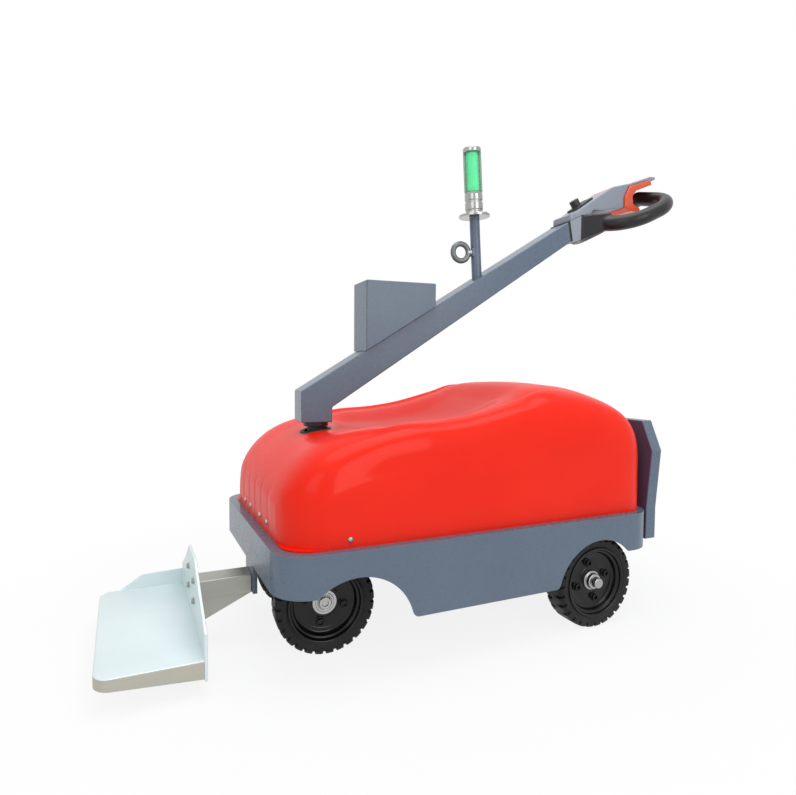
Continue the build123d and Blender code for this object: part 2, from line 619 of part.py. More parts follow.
# Signal lamp: metal foot, clear lens tube around a lit core, cap
LENS_LOW = POST_LENGTH + LAMP_FOOT_LENGTH
LENS_HIGH = LENS_LOW + LAMP_LENS_LENGTH
LENS_BORE_R = LAMP_R - LAMP_WALL
LAMP_PIECES = (
    # name, from, to, outer radius, inner radius
    ("lamp_foot", POST_LENGTH, LENS_LOW, LAMP_R, 0),
    ("lamp_lens", LENS_LOW, LENS_HIGH, LAMP_R, LENS_BORE_R),
    ("lamp_core", LENS_LOW, LENS_HIGH, LENS_BORE_R - LAMP_CORE_GAP, 0),
    ("lamp_cap", LENS_HIGH, LENS_HIGH + LAMP_CAP_LENGTH, LAMP_R, 0),
)
for name, low, high, outer, inner in LAMP_PIECES:
    with BuildPart() as lamp_piece:
        with Locations(LAMP * Location((0, 0, low))):
            Cylinder(outer, high - low, align=ON_BASE)
            if inner:
                Cylinder(inner, high - low, align=ON_BASE, mode=Mode.SUBTRACT)
    hand_over(lamp_piece, name)

# Wheels: profiles as (radius, axial), turned about the axle and placed at each corner
LIP_BACK = TYRE_HALF - RIM_LIP
SEAT_R = RIM_SEAT_R + PLATE_GAP
BORE_R = SPINDLE_R + RUNNING_GAP
DISC_BORE_R = HUB_R + PLATE_GAP
HUB_TOP = DISC_FRONT + HUB_STEP
FLANGE_INNER = DISC_BACK - HUB_FLANGE
tyre_half = [(SEAT_R, LIP_BACK), (RIM_LIP_R + PLATE_GAP, LIP_BACK), (RIM_LIP_R + BEAD, TYRE_HALF),
             (WHEEL_R - TYRE_SHOULDER, TYRE_HALF), (WHEEL_R, TYRE_HALF - TYRE_SHOULDER)]
TYRE_PROFILE = tyre_half + [(r, -y) for r, y in reversed(tyre_half)]
RIM_PROFILE = [(DISC_BORE_R, DISC_BACK), (RIM_BARREL_R, DISC_BACK), (RIM_BARREL_R, -TYRE_HALF),
               (RIM_LIP_R, -TYRE_HALF), (RIM_LIP_R, -LIP_BACK), (RIM_SEAT_R, -LIP_BACK),
               (RIM_SEAT_R, LIP_BACK), (RIM_LIP_R, LIP_BACK), (RIM_LIP_R, TYRE_HALF),
               (RIM_BARREL_R, TYRE_HALF), (RIM_BARREL_R, DISC_FRONT), (DISC_BORE_R, DISC_FRONT)]
WHEELS = (
    # name, place, side, hub end
    ("front_near", STEER * Location((-AXLE_LEAD, -FRONT_TRACK / 2, WHEEL_R)), -1, FRONT_HUB_END),
    ("front_far", STEER * Location((-AXLE_LEAD, FRONT_TRACK / 2, WHEEL_R)), 1, FRONT_HUB_END),
    ("rear_near", Location((REAR_X, -REAR_TRACK / 2, WHEEL_R)), -1, REAR_HUB_END),
    ("rear_far", Location((REAR_X, REAR_TRACK / 2, WHEEL_R)), 1, REAR_HUB_END),
)
for wheel, place, hand, hub_end in WHEELS:
    hub_profile = [(0, hub_end), (HUB_NOSE_R, hub_end), (HUB_NOSE_R, HUB_TOP), (HUB_R, HUB_TOP),
                   (HUB_R, DISC_BACK), (HUB_FLANGE_R, DISC_BACK), (HUB_FLANGE_R, FLANGE_INNER),
                   (HUB_R, FLANGE_INNER), (HUB_R, -HUB_INNER), (BORE_R, -HUB_INNER),
                   (BORE_R, hub_end - HUB_CAP), (0, hub_end - HUB_CAP)]
    turning = Plane(place * Location((0, 0, 0), (0, 0, 0 if hand > 0 else 180)))
    profile_plane = Plane(origin=turning.origin, x_dir=turning.x_dir, z_dir=(0, 0, 1))
    for piece_name, profile in (("tyre", TYRE_PROFILE), ("rim", RIM_PROFILE), ("hub", hub_profile)):
        with BuildPart() as wheel_piece:
            with BuildSketch(profile_plane):
                with BuildLine():
                    Polyline(profile, close=True)
                make_face()
            revolve(axis=Axis(turning.origin, turning.y_dir))
        hand_over(wheel_piece, f"{wheel}_{piece_name}")
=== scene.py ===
import json
import math

import bmesh
import bpy
from mathutils import Matrix, Vector
from mathutils.bvhtree import BVHTree


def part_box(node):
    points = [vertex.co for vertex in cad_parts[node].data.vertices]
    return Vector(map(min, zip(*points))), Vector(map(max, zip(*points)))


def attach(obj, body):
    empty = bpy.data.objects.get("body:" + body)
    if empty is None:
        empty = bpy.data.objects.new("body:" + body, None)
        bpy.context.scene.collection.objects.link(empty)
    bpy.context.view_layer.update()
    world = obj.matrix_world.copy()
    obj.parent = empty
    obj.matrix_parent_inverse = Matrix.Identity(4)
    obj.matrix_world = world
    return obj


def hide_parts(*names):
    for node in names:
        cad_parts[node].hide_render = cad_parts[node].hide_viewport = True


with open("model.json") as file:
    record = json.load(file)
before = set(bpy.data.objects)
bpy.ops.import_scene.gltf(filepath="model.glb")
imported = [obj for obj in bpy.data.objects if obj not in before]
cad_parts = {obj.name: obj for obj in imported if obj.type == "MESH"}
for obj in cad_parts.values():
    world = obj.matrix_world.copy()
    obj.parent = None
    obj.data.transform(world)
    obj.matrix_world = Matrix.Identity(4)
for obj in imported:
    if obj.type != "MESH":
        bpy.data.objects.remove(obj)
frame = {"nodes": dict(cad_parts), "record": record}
nodes = frame["nodes"]
record = frame["record"]
SLOT = {row["node"]: row["material_slot"] for row in record["subparts"]}
BODY = {node: body for body, names in record["behaviour"]["bodies"].items() for node in names}
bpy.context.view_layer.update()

MM = 0.001


def move(x, y, z):
    return Matrix.Translation((x, y, z))


def turn(degrees, axis):
    return Matrix.Rotation(math.radians(degrees), 4, axis)


SKIRT_LOW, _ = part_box("skirt")
SKIRT_FRONT = SKIRT_LOW.x
STEER_X = SKIRT_FRONT + 165 * MM
STEER_REST = -4
TILLER = move(STEER_X, 0, 0) @ turn(STEER_REST, "Z")


# Materials

DRIFT_SCALE, DRIFT_RANGE = 5.0, (0.3, 0.7)
FINE_DETAIL, FINE_ROUGH, FINE_RANGE = 6.0, 0.65, (0.25, 0.75)
SCUFF_SCALE, SCUFF_DETAIL, SCUFF_ROUGH = 23.0, 9.0, 0.78
WORN_RANGE, DULL_RANGE, DULL_MOST = (0.66, 0.78), (0.6, 0.8), 0.2
DUST_COLOUR, DUST_TOP, DUST_RANGE, DUST_LEAST = (142, 134, 122), 0.22, (0.4, 0.7), 0.1
COAT_ROUGHNESS = 0.06
RELIEF_DEPTH = 1 * MM


def rgb(red, green, blue):
    """Display values of 0 to 255 as linear colour."""
    def linear(c):
        return ((c / 255 + 0.055) / 1.055) ** 2.4 if c > 10 else c / 255 / 12.92

    return linear(red), linear(green), linear(blue), 1


def add(tree, kind, inputs=(), **settings):
    """A node whose inputs are linked where the value is a socket, and set where it is not."""
    node = tree.nodes.new(kind)
    for name, value in settings.items():
        setattr(node, name, value)
    for socket, value in inputs:
        if isinstance(value, bpy.types.NodeSocket):
            tree.links.new(value, node.inputs[socket])
        else:
            node.inputs[socket].default_value = value
    return node


def noise(tree, vector, scale, detail=4.0, rough=0.55):
    inputs = (("Vector", vector), ("Scale", scale), ("Detail", detail), ("Roughness", rough))
    return add(tree, "ShaderNodeTexNoise", inputs).outputs[0]


def spread(tree, value, low, high, to_low, to_high):
    """The value moved from one range to another."""
    inputs = ((0, value), (1, low), (2, high), (3, to_low), (4, to_high))
    return add(tree, "ShaderNodeMapRange", inputs).outputs[0]


def blend(tree, factor, first, second):
    return add(tree, "ShaderNodeMix", ((0, factor), (6, first), (7, second)), data_type="RGBA").outputs[2]


def combine(tree, operation, first, second, clamp=False):
    inputs = ((0, first), (1, second))
    return add(tree, "ShaderNodeMath", inputs, operation=operation, use_clamp=clamp).outputs[0]


def finish_of(name, base, other, rough, worn=None, wear=0.5, metal=0.0, coat=0.0, specular=0.5, grain=160.0,
              bump=0.06, stretch=(1, 1, 1), dusty=0.0, vary=0.08):
    """Two colours that drift into one another, with fine grain, worn patches and dust near the ground."""
    made = bpy.data.materials.new(name)
    made.use_nodes = True
    tree = made.node_tree
    shader = tree.nodes["Principled BSDF"]
    place = add(tree, "ShaderNodeTexCoord").outputs["Object"]
    drawn = add(tree, "ShaderNodeMapping", (("Vector", place), ("Scale", stretch))).outputs[0]
    drift = spread(tree, noise(tree, drawn, DRIFT_SCALE), *DRIFT_RANGE, 0.0, 1.0)
    colour = blend(tree, drift, rgb(*base), rgb(*other))
    fine = noise(tree, drawn, grain, FINE_DETAIL, FINE_ROUGH)
    roughness = spread(tree, fine, *FINE_RANGE, max(0.02, rough - vary), min(1.0, rough + vary))
    scuffs = noise(tree, drawn, SCUFF_SCALE, SCUFF_DETAIL, SCUFF_ROUGH)
    if worn:
        patch = spread(tree, scuffs, *WORN_RANGE, 0.0, wear)
        colour = blend(tree, patch, colour, rgb(*worn))
        dull = spread(tree, scuffs, *DULL_RANGE, 0.0, DULL_MOST)
        roughness = combine(tree, "ADD", roughness, dull, clamp=True)
    if dusty:
        height = add(tree, "ShaderNodeSeparateXYZ", ((0, place),)).outputs[2]
        low = spread(tree, height, 0.0, DUST_TOP, dusty, 0.0)
        uneven = spread(tree, scuffs, *DUST_RANGE, DUST_LEAST, 1.0)
        cloud = combine(tree, "MULTIPLY", low, uneven, clamp=True)
        colour = blend(tree, cloud, colour, rgb(*DUST_COLOUR))
    tree.links.new(colour, shader.inputs["Base Color"])
    tree.links.new(roughness, shader.inputs["Roughness"])
    shader.inputs["Metallic"].default_value = metal
    shader.inputs["Coat Weight"].default_value = coat
    shader.inputs["Coat Roughness"].default_value = COAT_ROUGHNESS
    shader.inputs["Specular IOR Level"].default_value = specular
    relief = add(tree, "ShaderNodeBump", (("Height", fine), ("Strength", bump), ("Distance", RELIEF_DEPTH)))
    tree.links.new(relief.outputs[0], shader.inputs["Normal"])
    return made


FINISHES = (
    # name, colour, colour it drifts to, roughness, worn colour, other settings
    ("chassis_paint", (97, 113, 131), (93, 108, 125), 0.28, (106, 120, 136),
     dict(wear=0.14, specular=0.42, grain=60.0, bump=0.012, dusty=0.08, vary=0.04)),
    ("inner_steel", (40, 42, 46), (30, 31, 34), 0.6, (80, 78, 74), dict(dusty=0.3)),
    ("battery_case", (38, 38, 41), (30, 30, 33), 0.55, (70, 70, 70), {}),
    ("cover_red", (248, 38, 10), (244, 33, 8), 0.42, (248, 54, 26),
     dict(wear=0.2, coat=0.16, specular=0.14, grain=60.0, bump=0.008, vary=0.04)),
    ("panel_dark", (82, 72, 94), (73, 64, 86), 0.4, (92, 90, 104), dict(wear=0.3)),
    ("hitch_steel", (178, 178, 172), (158, 158, 150), 0.34, (196, 194, 188),
     dict(metal=0.75, bump=0.12, stretch=(0.15, 1, 1), dusty=0.1)),
    ("tray_steel", (228, 241, 242), (220, 233, 234), 0.4, (205, 212, 211),
     dict(wear=0.3, metal=0.2, bump=0.08, stretch=(0.2, 1, 1))),
    # The tray's lip and underside: its steel made darker and warmer, painted shade on the faces turned away
    # from the top.
    ("tray_lip_shade", (190, 188, 174), (172, 169, 158), 0.4, (150, 147, 138),
     dict(wear=0.4, metal=0.5, bump=0.1, stretch=(0.2, 1, 1))),
    ("cast_black", (38, 37, 38), (28, 28, 29), 0.62, (84, 80, 76), dict(grain=240.0, bump=0.3, dusty=0.35)),
    ("bright_zinc", (182, 183, 181), (160, 161, 158), 0.24, (118, 114, 108), dict(wear=0.4, metal=1.0)),
    ("dull_zinc", (118, 122, 124), (102, 106, 108), 0.38, (150, 150, 148),
     dict(wear=0.4, metal=0.7, bump=0.1)),
    ("black_rubber", (27, 26, 29), (21, 20, 23), 0.34, (60, 59, 62),
     dict(wear=0.25, specular=0.4, grain=420.0, bump=0.1)),
    ("lamp_chrome", (176, 178, 176), (152, 154, 152), 0.2, (120, 120, 116),
     dict(wear=0.4, metal=1.0, stretch=(1, 1, 0.1), vary=0.06)),
    ("black_plastic", (40, 38, 44), (31, 30, 35), 0.42, (78, 76, 82),
     dict(wear=0.3, grain=500.0, bump=0.1)),
    ("head_grey", (152, 159, 171), (142, 149, 161), 0.34, (170, 175, 184),
     dict(wear=0.3, grain=500.0, bump=0.05)),
    ("paddle_orange", (240, 98, 58), (230, 86, 50), 0.32, (244, 138, 108),
     dict(wear=0.3, coat=0.15, bump=0.04)),
    ("tyre", (19, 18, 20), (14, 13, 15), 0.5, (44, 42, 42),
     dict(wear=0.3, specular=0.25, grain=380.0, bump=0.16, dusty=0.08)),
    ("rim_black", (12, 11, 14), (8, 8, 10), 0.16, (40, 39, 44),
     dict(wear=0.25, specular=0.3, bump=0.02, dusty=0.04)),
    ("seam_dark", (30, 29, 33), (22, 22, 25), 0.6, (60, 60, 62), dict(wear=0.2)),
)
GLOW_SCALE, GLOW_LEAST, GLOW_MOST = 60.0, 0.28, 0.38
LENS_EDGE, LENS_RANGE, LENS_CLEAREST, LENS_DENSEST = 0.35, (0.1, 0.75), 0.04, 0.85


def lit_core():
    """Lamp core: milky green that glows a little unevenly."""
    made = finish_of("lamp_green", (142, 243, 192), (158, 251, 208), 0.35, bump=0.05)
    tree = made.node_tree
    shader = tree.nodes["Principled BSDF"]
    place = add(tree, "ShaderNodeTexCoord").outputs["Object"]
    glow = spread(tree, noise(tree, place, GLOW_SCALE), *DRIFT_RANGE, GLOW_LEAST, GLOW_MOST)
    shader.inputs["Emission Color"].default_value = rgb(172, 255, 220)
    tree.links.new(glow, shader.inputs["Emission Strength"])
    return made


def clear_tube():
    """Lens: clear with a green tinge, seen through from the front and shiny at the sides."""
    made = finish_of("lamp_clear", (118, 136, 128), (104, 122, 114), 0.08, bump=0.02, vary=0.04)
    tree = made.node_tree
    shader = tree.nodes["Principled BSDF"]
    tint = add(tree, "ShaderNodeBsdfTransparent", ((0, rgb(226, 252, 238)),))
    edge = add(tree, "ShaderNodeLayerWeight", ((0, LENS_EDGE),)).outputs["Facing"]
    share = spread(tree, edge, *LENS_RANGE, LENS_CLEAREST, LENS_DENSEST)
    mixed = add(tree, "ShaderNodeMixShader", ((0, share), (1, tint.outputs[0]), (2, shader.outputs[0])))
    tree.links.new(mixed.outputs[0], tree.nodes["Material Output"].inputs["Surface"])
    return made


FINISH = {name: finish_of(name, base, other, rough, worn, **settings)
          for name, base, other, rough, worn, settings in FINISHES}
FINISH["lamp_green"] = lit_core()
FINISH["lamp_clear"] = clear_tube()
for node, obj in nodes.items():
    obj.data.materials.clear()
    obj.data.materials.append(FINISH[SLOT[node]])


# Mesh helpers

BEVEL_ANGLE = math.radians(25)
FLAT_ANGLE = math.radians(0.6)


def piece(name, mesh, node, replaces=(), slot=None, matrix=None):
    """A mesh as a piece riding on the node's body, finished as the slot."""
    if matrix is not None:
        mesh.transform(matrix)
    obj = bpy.data.objects.new(name, mesh)
    bpy.context.scene.collection.objects.link(obj)
    slot = slot or SLOT[node]
    if not mesh.materials:
        mesh.materials.append(FINISH[slot])
    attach(obj, BODY[node])
    if replaces:
        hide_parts(*replaces)
    slot if slot in SLOT.values() else SLOT[node]
    return obj


def refinish(obj, slot):
    """Gives the whole piece another finish."""
    obj.data.materials[0] = FINISH[slot]


def second_finish(obj, slot, chosen):
    """Gives the chosen faces another finish."""
    obj.data.materials.append(FINISH[slot])
    for polygon in obj.data.polygons:
        polygon.material_index = 1 if chosen(polygon) else 0


def to_mesh(bm, name, sharp=40):
    """The bmesh as a smooth mesh that faces outward, with edges past the angle kept sharp."""
    bmesh.ops.recalc_face_normals(bm, faces=bm.faces)
    if bm.calc_volume(signed=True) < 0:
        bmesh.ops.reverse_faces(bm, faces=bm.faces)
    mesh = bpy.data.meshes.new(name)
    for face in bm.faces:
        face.smooth = True
    bm.to_mesh(mesh)
    bm.free()
    mesh.set_sharp_from_angle(angle=math.radians(sharp))
    return mesh


def soften(bm, width, segments):
    edges = [e for e in bm.edges if len(e.link_faces) == 2 and e.calc_face_angle() > BEVEL_ANGLE]
    bmesh.ops.bevel(bm, geom=edges, offset=width, offset_type="OFFSET", segments=segments, profile=0.5,
                    affect="EDGES", clamp_overlap=True)


def soft_copy(node, width, segments):
    """The CAD node with its edges rounded off."""
    bm = bmesh.new()
    bm.from_mesh(nodes[node].data)
    bmesh.ops.remove_doubles(bm, verts=bm.verts, dist=1e-5)
    bmesh.ops.dissolve_limit(bm, angle_limit=FLAT_ANGLE, verts=bm.verts, edges=bm.edges)
    soften(bm, width, segments)
    name = node + "_soft"
    obj = piece(name, to_mesh(bm, name, sharp=35), node, replaces=(node,))
    obj.modifiers.new("even", "WEIGHTED_NORMAL").keep_sharp = True
    return obj


def moulded(node, voxel, rounds):
    """The CAD node as a moulding: remeshed evenly and smoothed so that its corners run into one another."""
    source = bpy.data.objects.new("source", nodes[node].data.copy())
    bpy.context.scene.collection.objects.link(source)
    even = source.modifiers.new("even", "REMESH")
    even.mode = "VOXEL"
    even.voxel_size = voxel
    melt = source.modifiers.new("melt", "SMOOTH")
    melt.factor = 0.5
    melt.iterations = rounds
    bpy.context.view_layer.update()
    mesh = bpy.data.meshes.new_from_object(source.evaluated_get(bpy.context.evaluated_depsgraph_get()))
    bpy.data.objects.remove(source)
    mesh.materials.clear()
    for polygon in mesh.polygons:
        polygon.use_smooth = True
    return piece(node + "_moulded", mesh, node, replaces=(node,))


def slab(name, size, node, matrix, slot):
    """A small plate with rounded edges, size in mm, standing on its base."""
    bm = bmesh.new()
    bmesh.ops.create_cube(bm, size=1.0)
    bmesh.ops.scale(bm, vec=[s * MM for s in size], verts=bm.verts)
    bmesh.ops.translate(bm, vec=(0, 0, size[2] * MM / 2), verts=bm.verts)
    soften(bm, 1 * MM, 2)
    return piece(name, to_mesh(bm, name), node, slot=slot, matrix=matrix)


def skin(name, rows, closed=False, sharp=40):
    """A surface through rows of points that each run round it; a row of one point closes an end."""
    bm = bmesh.new()
    rings = [[bm.verts.new(p) for p in row] for row in rows]
    around = max(len(ring) for ring in rings)
    for one, two in zip(rings, rings[1:] + (rings[:1] if closed else [])):
        for i in range(around):
            j = (i + 1) % around
            corners = (one[i % len(one)], one[j % len(one)], two[j % len(two)], two[i % len(two)])
            bm.faces.new(list(dict.fromkeys(corners)))
    return to_mesh(bm, name, sharp)


def lathe(name, profile, around=72, closed=False, sharp=40, shape=None):
    """Profile of (radius, axial) in mm turned about Z; shape(angle, r, a) may change a point."""
    def point(angle, r, a):
        r, a = shape(angle, r, a) if shape else (r, a)
        return r * MM * math.cos(angle), r * MM * math.sin(angle), a * MM

    angles = [2 * math.pi * i / around for i in range(around)]
    rows = [[point(angle, r, a) for angle in angles] if r > 0 else [(0, 0, a * MM)] for r, a in profile]
    return skin(name, rows, closed, sharp)


def turned(name, node, matrix, profile, around, **how):
    """A lathe piece that stands in for the node."""
    return piece(name, lathe(name, profile, around, **how), node, replaces=(node,), matrix=matrix)


def rounded(profile, radius, steps=3):
    """The profile with the corners between its ends cut to arcs of about the radius."""
    out = [profile[0]]
    for before, here, after in zip(profile, profile[1:], profile[2:]):
        before, here, after = Vector(before), Vector(here), Vector(after)
        one, two = before - here, after - here
        cut = min(radius, one.length * 0.45, two.length * 0.45)
        start, end = here + one.normalized() * cut, here + two.normalized() * cut
        for k in range(steps + 1):
            t = k / steps
            out.append(tuple(start * (1 - t) ** 2 + here * 2 * t * (1 - t) + end * t**2))
    return out + [profile[-1]]


def frame_at(origin, normal, along=(1, 0, 0)):
    """A matrix whose Z is the normal."""
    z = Vector(normal).normalized()
    x = Vector(along) - z * z.dot(Vector(along))
    if x.length < 1e-4:
        x = z.orthogonal()
    x.normalize()
    y = z.cross(x)
    return Matrix.Translation(origin) @ Matrix((x, y, z)).transposed().to_4x4()


def arc(centre, radius, start, end, steps=12):
    """Points (x, y) on an arc between two angles in degrees."""
    for k in range(steps + 1):
        angle = math.radians(start + (end - start) * k / steps)
        yield centre[0] + radius * math.cos(angle), centre[1] + radius * math.sin(angle)


def circle(radius, count, first=0):
    """Points (x, y) evenly round a circle, from an angle in degrees."""
    return list(arc((0, 0), radius, first, first + 360, count))[:-1]


def hex_bolt(name, node, matrix, across, height, washer):
    """Hexagon head with a rounded crown on a washer, sizes in mm."""
    thick, bore, corner = 1.6, washer * 0.4, across * 0.577
    plate = rounded([(bore, 0), (washer, 0), (washer, thick), (bore, thick)], 0.5)
    crown = [(corner, thick), (corner, height - 1.0), (across * 0.5, height), (0, height)]
    bm = bmesh.new()
    for mesh in (lathe("washer", plate, 36), lathe("head", crown, 6, sharp=20)):
        bm.from_mesh(mesh)
        bpy.data.meshes.remove(mesh)
    return piece(name, to_mesh(bm, name, sharp=25), node, slot="bright_zinc", matrix=matrix)


def dome_screw(name, node, matrix):
    """Domed head of 12 mm with a round socket."""
    profile = [(6.0, -1.5), (6.0, 0.6), (5.52, 1.6), (4.2, 2.7), (2.52, 3.2), (2.4, 1.6), (0, 1.6)]
    return piece(name, lathe(name, profile, 24, sharp=50), node, slot="bright_zinc", matrix=matrix)


def surface_of(mesh):
    return BVHTree.FromPolygons([v.co for v in mesh.vertices], [list(p.vertices) for p in mesh.polygons])


def step(low, high, value):
    """Smooth rise from 0 at low to 1 at high."""
    t = max(0.0, min(1.0, (value - low) / (high - low)))
    return t * t * (3 - 2 * t)


def band(value, rise, fall):
    """1 between the rise and the fall, each given as its start and end, and 0 outside them."""
    return step(*rise, value) * (1 - step(*fall, value))


def through(stops, values, at):
    """Smooth curve through values at the stops."""
    k = max(0, min(len(stops) - 2, sum(1 for s in stops if s <= at) - 1))
    span = stops[k + 1] - stops[k]
    t = (at - stops[k]) / span

    def slope(i):
        i0, i1 = max(0, i - 1), min(len(stops) - 1, i + 1)
        return (values[i1] - values[i0]) / (stops[i1] - stops[i0])

    return ((1 + 2 * t) * (1 - t) ** 2 * values[k] + t * (1 - t) ** 2 * span * slope(k)
            + t * t * (3 - 2 * t) * values[k + 1] + t * t * (t - 1) * span * slope(k + 1))


# Cover: a smooth skin through cross sections, fluted across its nose, with a shallow step round its saddle

COVER_LOW, COVER_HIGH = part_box("cover")
COVER_LENGTH = COVER_HIGH.x - COVER_LOW.x
RISE, HALF, LEAN = 322.0, 288.0, 5.0
SECTIONS = (
    # share of length, inset of the side in mm, ridge and middle as shares of the rise, shoulder in mm
    (0.0, 92, 0.248, 0.261, 28), (0.0085, 60, 0.323, 0.335, 40), (0.0265, 34, 0.410, 0.422, 54),
    (0.053, 14, 0.497, 0.503, 66), (0.090, 2, 0.581, 0.578, 78), (0.138, 0, 0.646, 0.630, 84),
    (0.202, 0, 0.689, 0.643, 88), (0.297, 0, 0.736, 0.646, 90), (0.403, 0, 0.755, 0.652, 90),
    (0.509, 0, 0.801, 0.705, 90), (0.615, 0, 0.888, 0.855, 90), (0.690, 0, 0.958, 0.980, 90),
    (0.797, 0, 0.938, 0.972, 88), (0.880, 1, 0.875, 0.915, 84), (0.934, 4, 0.800, 0.845, 74),
    (0.967, 12, 0.710, 0.740, 62), (0.990, 28, 0.600, 0.620, 46), (1.0, 46, 0.497, 0.505, 34),
)
STOPS, *COLUMNS = zip(*SECTIONS)
NOSE_ROWS = [0.0, 0.002, 0.005, 0.009, 0.014, 0.02, 0.027, 0.035, 0.044]
MIDDLE_ROWS = [0.054 + 0.0105 * i for i in range(86)]
TAIL_ROWS = [0.963, 0.972, 0.980, 0.987, 0.993, 0.997, 1.0]
ROW_POINTS, CAP_RINGS = 320, 24

CORNER_CUT, CORNER_CUT_LESS, CROWN = 0.29, 0.10, 0.78
SQUARE_RISE, SQUARE_FALL = (0.10, 0.24), (0.52, 0.70)
SADDLE_RISE, SADDLE_FALL, SADDLE_SIDE = (0.225, 0.275), (0.66, 0.80), (206 * MM, 222 * MM)
SADDLE_DEPTH, SADDLE_FLOOR = 7 * MM, 150 * MM
FLUTES, FLUTE_DEPTH, FLUTE_WIDTH = (0.0, 65 * MM, 130 * MM, 178 * MM), 1.4 * MM, 8 * MM
FLUTE_REACH, FLUTE_TOP = (0.0, 30 * MM), (80 * MM, 115 * MM)
COLUMN_HOLE = 31 * MM


def cover_half(share):
    """Half section at a share of the length: (y, z over the base) in mm from the base to the middle."""
    inset, ridge, middle, shoulder = [through(STOPS, values, share) for values in COLUMNS]
    half, ridge, middle = HALF - inset, ridge * RISE, middle * RISE
    corner = (CORNER_CUT - CORNER_CUT_LESS * band(share, SQUARE_RISE, SQUARE_FALL)) * shoulder
    upper, wall, crest = half - LEAN, ridge - shoulder, half - LEAN - shoulder
    return [(half, 0), (half - 0.4 * LEAN, wall / 2), (upper, wall), (upper - corner, ridge - corner),
            (crest, ridge), (crest / 2, ridge + (middle - ridge) * CROWN), (0, middle)]


def cover_row(share):
    """Even points along the whole section at a share of the length."""
    half = cover_half(share)
    ends = half + [(-y, z) for y, z in reversed(half[:-1])]
    run = [0.0]
    for one, two in zip(ends, ends[1:]):
        run.append(run[-1] + math.dist(one, two))
    ys, zs = zip(*ends)
    row = []
    for i in range(ROW_POINTS + 1):
        at = run[-1] * i / ROW_POINTS
        y, z = through(run, ys, at), through(run, zs, at)
        row.append(Vector((COVER_LOW.x + share * COVER_LENGTH, y * MM, COVER_LOW.z + z * MM)))
    return row


def end_cap(row):
    """Rings that draw an end row in to the middle of its base."""
    rings = []
    for k in range(1, CAP_RINGS + 1):
        size = 1 - k / (CAP_RINGS + 0.5)
        rings.append([Vector((p.x, p.y * size, COVER_LOW.z + (p.z - COVER_LOW.z) * size)) for p in row])
    return rings


def mould(p):
    """Moves a point of the cover into the grooves low on its nose and the step round its saddle."""
    near_nose = 1 - step(*FLUTE_REACH, p.x - COVER_LOW.x)
    low_part = 1 - step(*FLUTE_TOP, p.z - COVER_LOW.z)
    groove = max(math.exp(-((abs(p.y) - y) / FLUTE_WIDTH) ** 2) for y in FLUTES)
    p.x += FLUTE_DEPTH * near_nose * low_part * groove
    share = (p.x - COVER_LOW.x) / COVER_LENGTH
    saddle = band(share, SADDLE_RISE, SADDLE_FALL) * (1 - step(*SADDLE_SIDE, abs(p.y)))
    if p.z > COVER_LOW.z + SADDLE_FLOOR:
        p.z -= SADDLE_DEPTH * saddle


def over_column(face):
    away = math.dist(face.calc_center_median().xy, (STEER_X, 0))
    level = face.normal.z**2 > 0.3
    return away < COLUMN_HOLE and level


def cover_skin():
    rows = [cover_row(share) for share in NOSE_ROWS + MIDDLE_ROWS + TAIL_ROWS]
    rows = end_cap(rows[0])[::-1] + rows + end_cap(rows[-1])
    for row in rows:
        for p in row:
            mould(p)
    bm = bmesh.new()
    grid = [[bm.verts.new(p) for p in row] for row in rows]
    for one, two in zip(grid, grid[1:]):
        for i in range(ROW_POINTS):
            bm.faces.new((one[i], one[i + 1], two[i + 1], two[i]))
    bmesh.ops.remove_doubles(bm, verts=bm.verts, dist=1e-6)
    bmesh.ops.delete(bm, geom=[face for face in bm.faces if over_column(face)], context="FACES")
    return to_mesh(bm, "cover_skin", sharp=70)


cover = piece("cover_skin", cover_skin(), "cover", replaces=("cover",))

GROMMET = [(27.0, -6.0), (27.0, 2.6), (28.0, 3.6), (33.0, 3.6), (36.5, 2.0), (38.0, -1.5)]
GROMMET_SEAT = 34 * MM
GROMMET_STEPS = 64


def grommet():
    """Rubber ring lying on the cover round the steering column."""
    solid = surface_of(nodes["cover"].data)
    rays = []
    for x, y in circle(1, GROMMET_STEPS):
        out = Vector((x, y, 0))
        above = Vector((STEER_X, 0, 1)) + out * GROMMET_SEAT
        seat = solid.ray_cast(above, Vector((0, 0, -1)))[0].z
        rays.append((out, Vector((STEER_X, 0, seat))))
    rows = [[seat + out * r * MM + Vector((0, 0, rise * MM)) for out, seat in rays] for r, rise in GROMMET]
    return skin("column_grommet", rows)


piece("column_grommet", grommet(), "cover", slot="seam_dark")

FOOT_OUTER, FOOT_INNER = (1 * MM, 60 * MM), (70 * MM, 20 * MM)
FOOT_LOW, FOOT_HIGH = COVER_LOW.z + 0.3 * MM, COVER_LOW.z + 3 * MM


def foot_outline(inset, radius, z):
    """Rounded rectangle inside the cover's plan."""
    back, front = COVER_HIGH.x - inset - radius, COVER_LOW.x + inset + radius
    side = HALF * MM - inset - radius
    corners = ((back, side), (front, side), (front, -side), (back, -side))
    outline = []
    for i, corner in enumerate(corners):
        outline += [(x, y, z) for x, y in arc(corner, radius, 90 * i, 90 * i + 90)]
    return outline


def cover_foot():
    """Flat flange at the cover's foot that closes the skirt's opening at the corners."""
    rows = [foot_outline(*FOOT_OUTER, FOOT_LOW), foot_outline(*FOOT_OUTER, FOOT_HIGH),
            foot_outline(*FOOT_INNER, FOOT_HIGH), foot_outline(*FOOT_INNER, FOOT_LOW)]
    return skin("cover_foot", rows, closed=True)


piece("cover_foot", cover_foot(), "cover")

